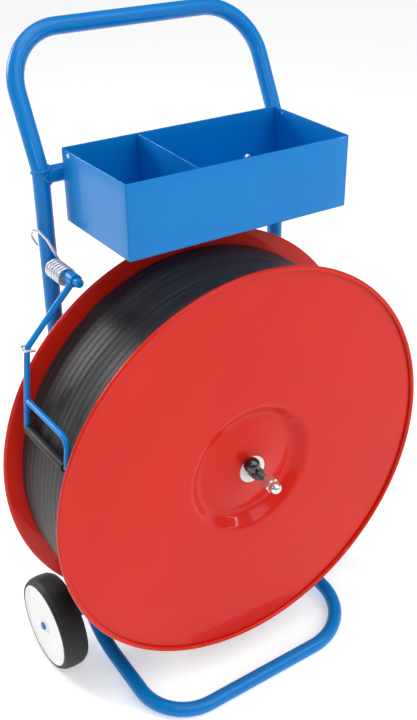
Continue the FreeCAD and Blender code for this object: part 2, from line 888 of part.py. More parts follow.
# ---------------------------------------------------------------- assembly
def all_pieces():
    """Every node's name with its shape, or with its list of like shapes."""
    pieces = {
        "handle_loop": make_handle_loop(),
        "left_upright": make_upright(-1),
        "right_upright": make_upright(1),
        "base_loop": make_base_loop(),
        "upper_crossbar": make_upper_crossbar(),
        "left_reel_crossbar": make_reel_crossbar(-1),
        "right_reel_crossbar": make_reel_crossbar(1),
        "spindle_housing": make_spindle_housing(),
        "front_spindle_bush": make_spindle_bush(housing_front_y, 1),
        "rear_spindle_bush": make_spindle_bush(housing_rear_y, -1),
        "left_tray_bracket": make_tray_bracket(-1),
        "right_tray_bracket": make_tray_bracket(1),
        "tray": make_tray(),
        "tray_divider": make_tray_divider(),
        "tray_screws": make_tray_screws(),
        "tray_nuts": make_tray_nuts(),
        "tray_rivets": make_tray_rivets(),
        "wheel_axle": axle_rod(),
        "pivot_pin": make_pivot_pin(),
        "arm_sleeve": make_arm_sleeve(),
        "brake_arm": make_brake_arm(),
        "strap_guide": make_strap_guide(),
        "brake_bar": make_brake_bar(),
        "brake_rubber": make_brake_rubber(),
        "brake_spring": make_brake_spring(),
        "spindle": make_spindle(),
        "tail_washer": make_tail_washer(),
        "tail_clip": make_tail_clip(),
        "shoulder_disc": make_shoulder_disc(),
        "rear_flange": make_flange(rear_face_y, 1),
        "hub_tube": make_hub_tube(),
        "core_drum": make_core_drum(),
        "coil_core": make_coil_core(),
        "strap_coil": make_strap_coil(),
        "front_flange": make_flange(front_face_y, -1),
        "friction_washer": make_friction_washer(),
        "clamp_collar": make_clamp_collar(),
        "clamp_screw": make_clamp_screw(),
        "ball_knob": make_ball_knob(),
        "dome_nut": make_dome_nut(),
    }
    for name, side in (("left", -1), ("right", 1)):
        pieces[name + "_wheel_hub"] = make_wheel_hub(side)
        pieces[name + "_tyre"] = make_tyre(side)
        pieces[name + "_inner_washer"] = make_inner_washer(side)
        pieces[name + "_axle_spacer"] = make_axle_spacer(side)
        pieces[name + "_axle_ring"] = make_axle_ring(side)
    return pieces


def export_piece(name, piece):
    """Write one node's file, with the piece moved to the trolley's own origin."""
    shape = Part.Compound(piece) if isinstance(piece, list) else piece
    shape = shape.copy()
    shape.translate(V(0, origin_shift_y, 0))
    for solid in shape.Solids:
        if not solid.isValid():
            print("not valid:", name)
    print(name, "solids", len(shape.Solids), "volume", round(shape.Volume))
    shape.exportStep(os.path.join("parts", name + ".step"))


os.makedirs("parts", exist_ok=True)
for node_name, node_piece in all_pieces().items():
    export_piece(node_name, node_piece)
print("origin shift along Y:", round(origin_shift_y, 3))
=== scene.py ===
import json
import math
import random

import bmesh
import bpy
from mathutils import Matrix, Vector


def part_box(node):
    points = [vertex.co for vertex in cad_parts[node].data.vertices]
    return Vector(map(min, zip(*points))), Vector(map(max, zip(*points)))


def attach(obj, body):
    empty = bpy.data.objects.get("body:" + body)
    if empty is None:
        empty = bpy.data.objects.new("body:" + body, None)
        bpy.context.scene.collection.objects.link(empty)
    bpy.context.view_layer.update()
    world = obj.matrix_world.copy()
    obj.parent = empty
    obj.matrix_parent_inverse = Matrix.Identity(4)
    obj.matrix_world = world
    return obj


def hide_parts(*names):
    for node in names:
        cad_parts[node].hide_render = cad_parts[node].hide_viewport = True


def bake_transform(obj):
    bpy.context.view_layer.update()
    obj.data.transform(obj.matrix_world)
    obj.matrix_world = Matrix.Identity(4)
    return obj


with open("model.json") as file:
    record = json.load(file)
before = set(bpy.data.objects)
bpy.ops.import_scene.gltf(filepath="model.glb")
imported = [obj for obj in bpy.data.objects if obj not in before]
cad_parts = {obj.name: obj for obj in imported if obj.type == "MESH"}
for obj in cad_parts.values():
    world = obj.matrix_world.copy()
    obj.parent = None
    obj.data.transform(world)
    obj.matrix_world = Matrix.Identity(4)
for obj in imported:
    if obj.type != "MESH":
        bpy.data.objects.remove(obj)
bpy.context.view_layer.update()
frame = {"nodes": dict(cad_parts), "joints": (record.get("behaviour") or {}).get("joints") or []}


# ================================================================ camera
# The eye of someone standing in front of the trolley, to its left, and looking
# down at it with a lens of about 52 mm.
eye = Vector((-0.6965, -1.0638, 1.1910))
eye_turn = math.radians(-36.02)
eye_tilt = math.radians(31.50)
eye_roll = math.radians(0.76)

back = Vector((math.sin(eye_turn) * math.cos(eye_tilt),
               -math.cos(eye_turn) * math.cos(eye_tilt),
               math.sin(eye_tilt)))
level_right = (-back).cross(Vector((0, 0, 1))).normalized()
level_up = back.cross(level_right)
right = level_right * math.cos(eye_roll) + level_up * math.sin(eye_roll)
up = level_up * math.cos(eye_roll) - level_right * math.sin(eye_roll)
camera_data = bpy.data.cameras.new("camera")
camera_data.lens = 51.85
camera_data.shift_x = -0.0569
camera_data.shift_y = 0.0519
camera = bpy.data.objects.new("camera", camera_data)
camera.matrix_world = Matrix((right, up, back)).transposed().to_4x4()
camera.matrix_world.translation = eye
bpy.context.scene.collection.objects.link(camera)
bpy.context.scene.camera = camera
bpy.context.scene.view_settings.view_transform = "Standard"


# ================================================================ studio
# A plain pale floor that glows a little, a wide even light from above, four soft
# boxes, and two long thin ones which draw the narrow bright lines along the tubes.
class Wire:
    """A value in a finish. Sums and products of it become Math nodes."""

    def __init__(self, finish, socket):
        self.finish = finish
        self.socket = socket

    def maths(self, operation, first, second):
        return self.finish.node("ShaderNodeMath", {"operation": operation}, {0: first, 1: second})

    def __add__(self, other):
        return self.maths("ADD", self, other)

    def __sub__(self, other):
        return self.maths("SUBTRACT", self, other)

    def __rsub__(self, other):
        return self.maths("SUBTRACT", other, self)

    def __mul__(self, other):
        return self.maths("MULTIPLY", self, other)

    __radd__ = __add__
    __rmul__ = __mul__


class Finish:
    """A material with one Principled shader, put together node by node."""

    def __init__(self, name, **constants):
        self.material = bpy.data.materials.new(name)
        self.material.use_nodes = True
        self.tree = self.material.node_tree
        self.shader = self.tree.nodes["Principled BSDF"]
        for key, value in constants.items():
            self.shader.inputs[key.replace("_", " ")].default_value = value

    def node(self, kind, settings, sockets, out=0):
        made = self.tree.nodes.new(kind)
        for key, value in settings.items():
            if key == "stops":
                for stop, (place, shade) in zip(made.color_ramp.elements, value):
                    stop.position = place
                    stop.color = (shade, shade, shade, 1)
            else:
                setattr(made, key, value)
        for key, value in sockets.items():
            self.plug(made.inputs[key], value)
        return Wire(self, made.outputs[out])

    def plug(self, socket, value):
        if isinstance(value, Wire):
            self.tree.links.new(value.socket, socket)
        else:
            socket.default_value = value

    def wear(self, **sockets):
        """Plug what changes over the surface into the shader."""
        for key, value in sockets.items():
            self.plug(self.shader.inputs[key.replace("_", " ")], value)

    def place(self, scale=(1, 1, 1), kind="Object"):
        """Where a point of the surface is, stretched along each axis."""
        spot = self.node("ShaderNodeTexCoord", {}, {}, kind)
        return self.node("ShaderNodeMapping", {}, {"Vector": spot, "Scale": scale})

    def noise(self, scale, detail=2.0, contrast=1.0, place=None):
        place = place or self.place()
        cloud = self.node("ShaderNodeTexNoise", {}, {"Vector": place, "Scale": scale, "Detail": detail})
        low = 0.5 - 0.25 / contrast
        high = 0.5 + 0.25 / contrast
        return self.node("ShaderNodeValToRGB", {"stops": [(low, 0.0), (high, 1.0)]}, {"Fac": cloud})

    def blend(self, amount, first, second):
        """From the first colour to the second as the amount goes from 0 to 1."""
        colours = {0: amount, 6: (*first, 1) if isinstance(first, tuple) else first,
                   7: (*second, 1) if isinstance(second, tuple) else second}
        return self.node("ShaderNodeMix", {"data_type": "RGBA"}, colours, 2)

    def bumps(self, height, depth, under=None):
        """The normal of a surface that rises by this depth, in metres, where height is 1."""
        sockets = {"Height": height, "Distance": depth, "Strength": 1.0}
        if under is not None:
            sockets["Normal"] = under
        return self.node("ShaderNodeBump", {}, sockets)


paper = Finish("floor_paper", Roughness=0.9, Emission_Strength=0.44)
paper_fibre = paper.noise(60, 3)
paper.wear(Base_Color=paper.blend(paper_fibre, (0.84, 0.84, 0.84), (0.88, 0.88, 0.88)))
paper.wear(Emission_Color=paper.blend(paper_fibre, (0.97, 0.97, 0.97), (1.0, 1.0, 1.0)))
paper.wear(Normal=paper.bumps(paper_fibre, 0.0002))

floor_size = 12.0
floor_mesh = bpy.data.meshes.new("floor")
floor_mesh.from_pydata([(-floor_size, -floor_size, 0), (floor_size, -floor_size, 0),
                        (floor_size, floor_size, 0), (-floor_size, floor_size, 0)], [], [(0, 1, 2, 3)])
floor_mesh.materials.append(paper.material)
floor = bpy.data.objects.new("floor", floor_mesh)
bpy.context.scene.collection.objects.link(floor)

world = bpy.data.worlds.new("studio_air")
world.use_nodes = True
world.node_tree.nodes["Background"].inputs["Color"].default_value = (0.95, 0.97, 1.0, 1)
world.node_tree.nodes["Background"].inputs["Strength"].default_value = 0.2
bpy.context.scene.world = world


def soft_box(name, spot, target, width, height, power):
    """A rectangular lamp at a spot, turned towards a target."""
    data = bpy.data.lights.new(name, "AREA")
    data.shape = "RECTANGLE"
    data.size = width
    data.size_y = height
    data.energy = power
    lamp = bpy.data.objects.new(name, data)
    lamp.location = spot
    lamp.rotation_euler = (Vector(target) - Vector(spot)).to_track_quat("-Z", "Y").to_euler()
    bpy.context.scene.collection.objects.link(lamp)


sun_data = bpy.data.lights.new("even_light", "SUN")
sun_data.energy = 1.4
sun_data.angle = math.radians(50)
sun = bpy.data.objects.new("even_light", sun_data)
sun.rotation_euler = Vector((-0.15, 0.50, -0.85)).to_track_quat("-Z", "Y").to_euler()
bpy.context.scene.collection.objects.link(sun)

middle = (0, 0, 0.45)
soft_box("front_box", (0.9, -2.4, 1.5), middle, 0.6, 0.8, 4)
soft_box("key_box", (-1.3, -1.7, 2.0), middle, 0.3, 0.3, 4)
soft_box("top_box", (-0.3, 0.3, 2.6), middle, 1.0, 1.0, 10)
soft_box("rear_box", (-1.2, 2.0, 1.5), middle, 0.8, 0.9, 34)
soft_box("left_strip", (-2.0, 0.2, 1.5), middle, 0.08, 1.6, 2.5)
soft_box("right_strip", (1.7, -1.5, 1.3), middle, 0.10, 1.8, 8)


# ================================================================ tube frame
# The trolley's frame is bent from 22 mm steel tube: one long tube down both sides
# and round the floor, and the leaning handle welded on top with a mitred joint.
# All of it is powder coated in one gloss blue.
class Maker:
    """A mesh in the making. Each skin added to it is closed, and all of them end up as one piece."""

    def __init__(self):
        self.mesh = bmesh.new()
        self.run = self.mesh.loops.layers.uv.new("run")

    def skin(self, rings, looped=False, across=1.0):
        """Join rings of points, each to the next, and close both ends or join them up."""
        rows = [[self.mesh.verts.new(point) for point in ring] for ring in rings]
        sides = len(rows[0])
        along = [0.0]
        for before, after in zip(rings, rings[1:] + rings[:1]):
            along.append(along[-1] + (after[0] - before[0]).length)
        for i in range(len(rows) if looped else len(rows) - 1):
            here = rows[i]
            there = rows[(i + 1) % len(rows)]
            for k in range(sides):
                m = (k + 1) % sides
                face = self.mesh.faces.new((here[k], here[m], there[m], there[k]))
                marks = ((i, k), (i, k + 1), (i + 1, k + 1), (i + 1, k))
                for loop, (u, v) in zip(face.loops, marks):
                    loop[self.run].uv = (along[u], across * v / sides)
        if not looped:
            self.mesh.faces.new(rows[0][::-1])
            self.mesh.faces.new(rows[-1])

    def tube(self, path, radius, sides=40, planes=(None, None)):
        """A round bar along a path. Each ring lies in the plane that mitres its two runs."""
        runs = [(after - before).normalized() for before, after in zip(path, path[1:])]
        normals = [planes[0] or runs[0]]
        normals += [(before + after).normalized() for before, after in zip(runs, runs[1:])]
        normals.append(planes[1] or runs[-1])
        side = runs[0].orthogonal().normalized()
        other = runs[0].cross(side)
        turns = [2 * math.pi * k / sides for k in range(sides)]
        ring = [path[0] + (side * math.cos(a) + other * math.sin(a)) * radius for a in turns]
        rings = []
        for spot, normal, run in zip(path, normals, [runs[0]] + runs):
            ring = [p + run * ((spot - p).dot(normal) / run.dot(normal)) for p in ring]
            rings.append(ring)
        self.skin(rings, across=2 * math.pi * radius)

    def turned(self, outline, origin, axis, sides=64, looped=False, shape=None):
        """Turn an outline of (radius, distance) about an axis. A shape can make it other than round."""
        axis = axis.normalized()
        side = axis.orthogonal().normalized()
        other = axis.cross(side)
        widest = max(point[0] for point in outline)
        rings = []
        for point in outline:
            ring = []
            for k in range(sides):
                a = 2 * math.pi * k / sides
                radius = shape(a, point[0]) if shape else point[0]
                ring.append(origin + axis * point[1] + (side * math.cos(a) + other * math.sin(a)) * radius)
            rings.append(ring)
        self.skin(rings, looped, across=2 * math.pi * widest)

    def piece(self, name, finish, body, nodes=(), sharp=32):
        """Finish the mesh as one object that rides on a body and stands for its nodes."""
        bmesh.ops.recalc_face_normals(self.mesh, faces=self.mesh.faces)
        data = bpy.data.meshes.new(name)
        self.mesh.to_mesh(data)
        self.mesh.free()
        return settle(name, data, finish, body, nodes, sharp)


def settle(name, data, finish, body, nodes=(), sharp=32):
    """Give a finished mesh its paint, its body and the nodes that it stands for."""
    data.shade_smooth()
    data.set_sharp_from_angle(angle=math.radians(sharp))
    data.materials.clear()
    data.materials.append(finish.material)
    made = bpy.data.objects.new(name, data)
    bpy.context.scene.collection.objects.link(made)
    if body is not None:
        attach(made, body)
    if nodes:
        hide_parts(*nodes)
    return made


def rounded(points, radii, steps=10):
    """The points with each corner replaced by an arc of its own radius."""
    line = []
    for i, (corner, radius) in enumerate(zip(points, radii)):
        if radius == 0:
            line.append(corner)
            continue
        before = (points[i - 1] - corner).normalized()
        after = (points[(i + 1) % len(points)] - corner).normalized()
        half = before.angle(after) / 2
        centre = corner + (before + after).normalized() * (radius / math.sin(half))
        first = (corner + before * (radius / math.tan(half)) - centre).normalized()
        last = (corner + after * (radius / math.tan(half)) - centre).normalized()
        for k in range(steps + 1):
            line.append(centre + first.slerp(last, k / steps) * radius)
    return line


def rounded_outline(points, radii, steps):
    """An outline of (radius, distance) points with each corner rounded."""
    return rounded([Vector((*point, 0)) for point in points], radii, steps)


def pipe_outline(bore, outside, length, radii):
    """The outline of a plain pipe, with its four corners rounded."""
    return rounded_outline([(bore, 0), (outside, 0), (outside, length), (bore, length)], radii, 4)


blue = Finish("blue_powder_coat", Coat_Weight=0.15, Coat_Roughness=0.06, Specular_IOR_Level=0.2)
blue_cloud = blue.noise(7, 3)
blue_peel = blue.noise(420, 2)
blue_speck = blue.noise(1600, 1)
blue.wear(Base_Color=blue.blend(blue_cloud, (0.0, 0.195, 0.58), (0.0, 0.225, 0.65)))
blue.wear(Roughness=0.26 + 0.08 * blue_cloud + 0.04 * blue_speck)
blue.wear(Normal=blue.bumps(blue_peel, 0.00006, blue.bumps(blue_speck, 0.00001)))

upright_low, upright_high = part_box("left_upright")
tube = (upright_high.x - upright_low.x) / 2
side_x = -(upright_low.x + upright_high.x) / 2
plane_y = (upright_low.y + upright_high.y) / 2
handle_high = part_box("handle_loop")[1]
lean = math.radians(27.3)
handle_bend = 0.074
elbow_z = 0.7575
top_z = handle_high.z - tube
top_y = handle_high.y - tube
mitre = Vector((0, math.sin(lean / 2), math.cos(lean / 2)))

handle = Maker()
handle.tube(rounded([Vector((-side_x, plane_y, elbow_z)), Vector((-side_x, top_y, top_z)),
                     Vector((side_x, top_y, top_z)), Vector((side_x, plane_y, elbow_z))],
                    [0, handle_bend, handle_bend, 0], 16), tube, planes=(mitre, -mitre))
handle.piece("handle", blue, "frame", ["handle_loop"])

base_shift = -0.004
base_half = 0.182
left_reach = 0.261
right_reach = 0.255
left_bend = 0.072
right_bend = 0.098
leg_corner_z = 0.030
rear_bend = 0.114
front_left = Vector((base_shift - base_half, plane_y - left_reach, tube))
front_right = Vector((base_shift + base_half, plane_y - right_reach, tube))
floor_tube = Maker()
floor_tube.tube(rounded([Vector((-side_x, plane_y, elbow_z)), Vector((-side_x, plane_y, leg_corner_z)),
                         front_left, front_right,
                         Vector((side_x, plane_y, leg_corner_z)), Vector((side_x, plane_y, elbow_z))],
                        [0, rear_bend, left_bend, right_bend, rear_bend, 0], 16),
                tube, planes=(-mitre, mitre))
floor_tube.piece("uprights_and_base", blue, "frame",
                 ["left_upright", "right_upright", "base_loop"])


# ================================================================ crossbars and spindle housing
# Three straight tubes, coped to the uprights and welded: one across the elbows that
# carries the tray, and two that hold the thick-walled housing of the spindle.
crossbar_low, crossbar_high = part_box("upper_crossbar")
crossbar_z = (crossbar_low.z + crossbar_high.z) / 2
housing_low, housing_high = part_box("spindle_housing")
housing_radius = (housing_high.x - housing_low.x) / 2
spindle_z = (housing_low.z + housing_high.z) / 2
forward = Vector((0, -1, 0))

crossbar = Maker()
crossbar.tube([Vector((-side_x, plane_y, crossbar_z)), Vector((side_x, plane_y, crossbar_z))], tube)
crossbar.piece("tray_crossbar", blue, "frame", ["upper_crossbar"])
for name, side in (("left", -1), ("right", 1)):
    bar = Maker()
    bar.tube([Vector((side * side_x, plane_y, spindle_z)),
              Vector((side * (housing_radius - 0.001), plane_y, spindle_z))], tube)
    bar.piece(name + "_reel_bar", blue, "frame", [name + "_reel_crossbar"])

bush_bore = 0.01005
housing_bore = 0.013
housing_length = housing_high.y - housing_low.y
housing = Maker()
housing.turned(pipe_outline(housing_bore, housing_radius, housing_length, [0, 0.0012, 0.0012, 0]),
               Vector((0, housing_low.y, spindle_z)), -forward, looped=True)
housing.piece("housing", blue, "frame", ["spindle_housing"])

nylon = Finish("bush_nylon", Subsurface_Weight=0.1, Roughness=0.45)
nylon_cloud = nylon.noise(90, 3)
nylon_lathe = nylon.noise(1, 1, place=nylon.place((1, 900, 1)))
nylon.wear(Base_Color=nylon.blend(nylon_cloud, (0.74, 0.72, 0.66), (0.82, 0.80, 0.75)))
nylon.wear(Roughness=0.38 + 0.15 * nylon_cloud)
nylon.wear(Normal=nylon.bumps(nylon_lathe, 0.00004))
bush_outside = housing_bore - 0.00002
bush_collar = 0.0025
for node, way in (("front_spindle_bush", -1), ("rear_spindle_bush", 1)):
    low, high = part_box(node)
    collar_r = (high.x - low.x) / 2
    start = Vector((0, low.y if way > 0 else high.y, spindle_z))
    length = high.y - low.y
    bush = Maker()
    bush.turned(rounded_outline([(bush_bore, 0), (bush_outside, 0), (bush_outside, length - bush_collar),
                                 (collar_r, length - bush_collar), (collar_r, length), (bush_bore, length)],
                                [0, 0.001, 0, 0.0006, 0.0008, 0.0006], 3),
                start, Vector((0, way, 0)), looped=True)
    bush.piece(node.replace("spindle_", ""), nylon, "frame", [node])


# ================================================================ welds of the frame
# Every joint of the tube frame is closed by one run of weld, laid in small
# overlapping ripples and softened by the paint that lies over it.
def new_tree(name, inputs, output):
    """An empty tree with its inputs and output, and what adds a node and fills its sockets."""
    tree = bpy.data.node_groups.new(name, "GeometryNodeTree")
    for socket, kind in inputs:
        tree.interface.new_socket(socket, in_out="INPUT", socket_type="NodeSocket" + kind)
    tree.interface.new_socket(output, in_out="OUTPUT", socket_type="NodeSocketGeometry")

    def add(kind, settings, sockets):
        node = tree.nodes.new(kind)
        for key, value in settings.items():
            setattr(node, key, value)
        for key, value in sockets.items():
            if isinstance(value, bpy.types.NodeSocket):
                tree.links.new(value, node.inputs[key])
            else:
                node.inputs[key].default_value = value
        return node.outputs

    return tree, add


def weld_bead_tree():
    """A bead along a seam: its thickness swells and thins once for each ripple."""
    tree, add = new_tree("weld_bead", (("Seam", "Geometry"), ("Bead", "Float"), ("Ripple", "Float"),
                                       ("Unevenness", "Float"), ("Paint", "Material")), "Weld")

    def maths(operation, *values):
        return add("ShaderNodeMath", {"operation": operation}, dict(enumerate(values)))[0]

    given = add("NodeGroupInput", {}, {})
    line = add("GeometryNodeMeshToCurve", {}, {"Mesh": given["Seam"]})
    fine = maths("MULTIPLY", given["Ripple"], 0.2)
    points = add("GeometryNodeResampleCurve", {"mode": "LENGTH"}, {"Curve": line[0], "Length": fine})
    along = add("GeometryNodeSplineParameter", {}, {})
    angle = maths("MULTIPLY", maths("DIVIDE", along["Length"], given["Ripple"]), 2 * math.pi)
    ripple = maths("MULTIPLY", maths("SINE", angle), 0.09)
    hand = add("ShaderNodeTexNoise", {}, {"Scale": 160.0, "Detail": 1.0})
    sway = maths("MULTIPLY", hand[0], given["Unevenness"])
    thick = maths("MULTIPLY", maths("ADD", maths("ADD", ripple, sway), 0.85), given["Bead"])
    ring = add("GeometryNodeCurvePrimitiveCircle", {}, {"Resolution": 10, "Radius": 1.0})
    bead = add("GeometryNodeCurveToMesh", {}, {"Curve": points[0], "Profile Curve": ring["Curve"],
                                               "Scale": thick, "Fill Caps": True})
    real = add("GeometryNodeRealizeInstances", {}, {"Geometry": bead[0]})
    painted = add("GeometryNodeSetMaterial", {}, {"Geometry": real[0], "Material": given["Paint"]})
    add("NodeGroupOutput", {}, {"Weld": painted[0]})
    return tree


def grown(name, tree, source, inputs):
    """The plain mesh that a tree makes from a source mesh."""
    made = bpy.data.objects.new(name, source)
    bpy.context.scene.collection.objects.link(made)
    modifier = made.modifiers.new("grow", "NODES")
    modifier.node_group = tree
    for item in tree.interface.items_tree:
        if item.in_out == "INPUT" and item.name in inputs:
            modifier[item.identifier] = inputs[item.name]
    bpy.context.view_layer.update()
    view = bpy.context.evaluated_depsgraph_get()
    data = bpy.data.meshes.new_from_object(made.evaluated_get(view))
    bpy.data.objects.remove(made)
    return data


def seam_mesh(name, seams):
    """Edges along each seam, given as (points, whether the seam closes on itself)."""
    points = []
    edges = []
    for line, closed in seams:
        start = len(points)
        points.extend(line)
        edges.extend((start + i, start + i + 1) for i in range(len(line) - 1))
        if closed:
            edges.append((start + len(line) - 1, start))
    data = bpy.data.meshes.new(name)
    data.from_pydata(points, edges, [])
    return data


def saddle(centre, along, radius, big_centre, big_axis, big_radius, steps=40):
    """The line where a round bar, going along its axis, first meets a larger round bar."""
    along = along.normalized()
    side = big_axis.normalized()
    other = along.cross(side).normalized()
    line = []
    for k in range(steps):
        a = 2 * math.pi * k / steps
        start = centre + (side * math.cos(a) + other * math.sin(a)) * radius
        off = other.dot(start - big_centre)
        depth = math.sqrt(max(big_radius ** 2 - off ** 2, 0))
        line.append(start + along * (along.dot(big_centre - start) - depth))
    return line


def mitre_seam(x):
    """The oval where the handle meets an upright."""
    oval = []
    for k in range(40):
        a = 2 * math.pi * k / 40
        y = tube * math.sin(a)
        oval.append(Vector((x + tube * math.cos(a), plane_y + y, elbow_z - y * math.tan(lean / 2))))
    return oval


def weld(name, body, seams, bead, ripple=0.0026):
    """The runs of weld along some seams, under the blue paint."""
    data = grown(name, weld_tree, seam_mesh("seams", seams),
                 {"Bead": bead, "Ripple": ripple, "Unevenness": 0.3, "Paint": blue.material})
    settle(name, data, blue, body, sharp=60)


across = Vector((1, 0, 0))
upward = Vector((0, 0, 1))
weld_tree = weld_bead_tree()
frame_seams = []
for side in (-1, 1):
    corner = Vector((side * side_x, plane_y, 0))
    frame_seams.append((mitre_seam(side * side_x), True))
    for height in (crossbar_z, spindle_z):
        frame_seams.append((saddle(Vector((0, plane_y, height)), across * side, tube,
                                   corner + upward * height, upward, tube), True))
    frame_seams.append((saddle(Vector((side * side_x, plane_y, spindle_z)), -across * side, tube,
                               Vector((0, plane_y, spindle_z)), forward, housing_radius), True))
weld("frame_welds", "frame", frame_seams, 0.0021)


# ================================================================ tray
# An open box folded from 1.5 mm sheet, coated blue inside and out. Its long walls bow
# by a fraction of a millimetre, as thin folded sheet does.
tray_low, tray_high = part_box("tray")
sheet = 0.0015
outer_fold = 0.0025
inner_fold = 0.001
wall_bow = 0.0004


def tray_level(z, inset, bow):
    """One level of the tray: a rectangle with small round corners and slightly bowed sides."""
    corner = max(outer_fold - inset, 0.0001)
    low_x, high_x = tray_low.x + inset, tray_high.x - inset
    low_y, high_y = tray_low.y + inset, tray_high.y - inset
    spots = [Vector((low_x, low_y, z)), Vector((high_x, low_y, z)),
             Vector((high_x, high_y, z)), Vector((low_x, high_y, z))]
    outward = [Vector((0, -1, 0)), Vector((1, 0, 0)), Vector((0, 1, 0)), Vector((-1, 0, 0))]
    arcs = rounded(spots, [corner] * 4, 4)
    level = []
    for i in range(4):
        arc = arcs[5 * i:5 * i + 5]
        level.extend(arc)
        following = arcs[(5 * i + 5) % 20]
        for k in range(1, 9):
            share = k / 9
            swell = bow * (1 - (2 * share - 1) ** 2)
            level.append(arc[-1].lerp(following, share) + outward[i] * swell)
    return level


tray_levels = []
for k in range(6):
    a = math.radians(18 * k)
    tray_levels.append(tray_level(tray_low.z + outer_fold * (1 - math.cos(a)),
                                  outer_fold * (1 - math.sin(a)), 0))
wall_low = tray_low.z + outer_fold
wall_high = tray_high.z - sheet / 2
wall_steps = [k / 6 for k in range(1, 6)]
for share in wall_steps:
    tray_levels.append(tray_level(wall_low + (wall_high - wall_low) * share, 0, wall_bow * share))
for k in range(7):
    a = math.radians(30 * k)
    tray_levels.append(tray_level(wall_high + sheet / 2 * math.sin(a),
                                  sheet / 2 * (1 - math.cos(a)), wall_bow))
for share in reversed(wall_steps):
    tray_levels.append(tray_level(wall_low + (wall_high - wall_low) * share, sheet, wall_bow * share))
for k in range(6):
    a = math.radians(18 * k)
    tray_levels.append(tray_level(tray_low.z + sheet + inner_fold * (1 - math.sin(a)),
                                  sheet + inner_fold * (1 - math.cos(a)), 0))
tray = Maker()
tray.skin(tray_levels)
tray.piece("tool_tray", blue, "frame", ["tray"])

# The divider is a loose plate, folded at its foot, that stands a little out of square.
divider_low, divider_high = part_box("tray_divider")
divider_back_x = -0.0556
divider_front_x = -0.0626
foot_width = 0.012
half_sheet = sheet / 2
profile = rounded([Vector((-half_sheet, 0, divider_low.z)), Vector((foot_width, 0, divider_low.z)),
                   Vector((foot_width, 0, divider_low.z + sheet)),
                   Vector((half_sheet, 0, divider_low.z + sheet)),
                   Vector((half_sheet, 0, divider_high.z)), Vector((-half_sheet, 0, divider_high.z))],
                  [0.0022, 0.0006, 0.0006, 0.0009, 0.0006, 0.0006], 4)
divider = Maker()
rings = []
for k in range(9):
    share = k / 8
    y = divider_high.y + (divider_low.y - divider_high.y) * share
    bow = 0.0005 * (1 - (2 * share - 1) ** 2)
    x = divider_back_x + (divider_front_x - divider_back_x) * share
    rings.append([point + Vector((x + bow * (point.z > divider_low.z + 0.01), y, 0)) for point in profile])
divider.skin(rings)
divider.piece("divider", blue, "frame", ["tray_divider"])


# ================================================================ tray fixings
# Two lugs welded to the crossbar hold the tray with a round-headed screw and a nut
# each, bright zinc plated, and two pop rivets close its rear corners.
def repeat_tree():
    """The same part at every point, turned as the point's own turn says."""
    tree, add = new_tree("repeat_part", (("Spots", "Geometry"), ("Part", "Object"), ("Size", "Float"),
                                         ("Metal", "Material")), "Parts")
    given = add("NodeGroupInput", {}, {})
    part = add("GeometryNodeObjectInfo", {}, {"Object": given["Part"]})
    turn = add("GeometryNodeInputNamedAttribute", {"data_type": "FLOAT_VECTOR"}, {"Name": "turn"})
    copies = add("GeometryNodeInstanceOnPoints", {},
                 {"Points": given["Spots"], "Instance": part["Geometry"],
                  "Rotation": turn["Attribute"], "Scale": given["Size"]})
    real = add("GeometryNodeRealizeInstances", {}, {"Geometry": copies["Instances"]})
    coated = add("GeometryNodeSetMaterial", {}, {"Geometry": real["Geometry"], "Material": given["Metal"]})
    add("NodeGroupOutput", {}, {"Parts": coated["Geometry"]})
    return tree


def repeated(name, part, spots, finish, body, nodes=()):
    """One piece that holds a copy of a part at each spot, given as (place, direction of its axis)."""
    places = bpy.data.meshes.new(name + "_spots")
    places.from_pydata([spot for spot, axis in spots], [], [])
    turn = places.attributes.new("turn", "FLOAT_VECTOR", "POINT")
    for k, (spot, axis) in enumerate(spots):
        turn.data[k].vector = axis.to_track_quat("Z", "X").to_euler()
    data = grown(name, repeat_parts, places, {"Part": part, "Size": 1.0, "Metal": finish.material})
    bpy.data.objects.remove(part)
    return settle(name, data, finish, body, nodes)


zinc = Finish("bright_zinc")
zinc_cloud = zinc.noise(120, 3)
zinc_grain = zinc.noise(1500, 2)
zinc.wear(Base_Color=zinc.blend(zinc_cloud, (0.74, 0.75, 0.77), (0.88, 0.88, 0.9)))
zinc.wear(Metallic=0.75 + 0.15 * zinc_cloud)
zinc.wear(Roughness=0.3 + 0.14 * zinc_cloud)
zinc.wear(Normal=zinc.bumps(zinc_grain, 0.00001))

repeat_parts = repeat_tree()
screw_low, screw_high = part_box("tray_screws")
screw_head = 0.006
screw_x = (screw_high.x - screw_low.x) / 2 - screw_head
screw_z = (screw_low.z + screw_high.z) / 2
tray_inside_y = tray_high.y - sheet
screw = Maker()
screw.turned([(0.0005, -0.0135), (0.0025, -0.0135), (0.003, -0.013), (0.003, 0),
              (screw_head, 0), (screw_head, 0.0012),
              (0.0055, 0.0022), (0.0046, 0.003), (0.0035, 0.0035), (0.0022, 0.0035), (0.002, 0.0033),
              (0.002, 0.0014), (0.0004, 0.0008)],
             Vector((0, 0, 0)), upward, 36)
repeated("tray_screws_zinc", screw.piece("screw_part", zinc, None),
         [(Vector((side * screw_x, tray_inside_y, screw_z)), forward) for side in (-1, 1)],
         zinc, "frame", ["tray_screws"])


def six_sided(flats, turn):
    """What turns a round bar into a hexagonal one with this distance from its axis to each flat."""
    def cut(a, radius):
        return min(radius, flats / math.cos((a + turn) % (math.pi / 3) - math.pi / 6))
    return cut


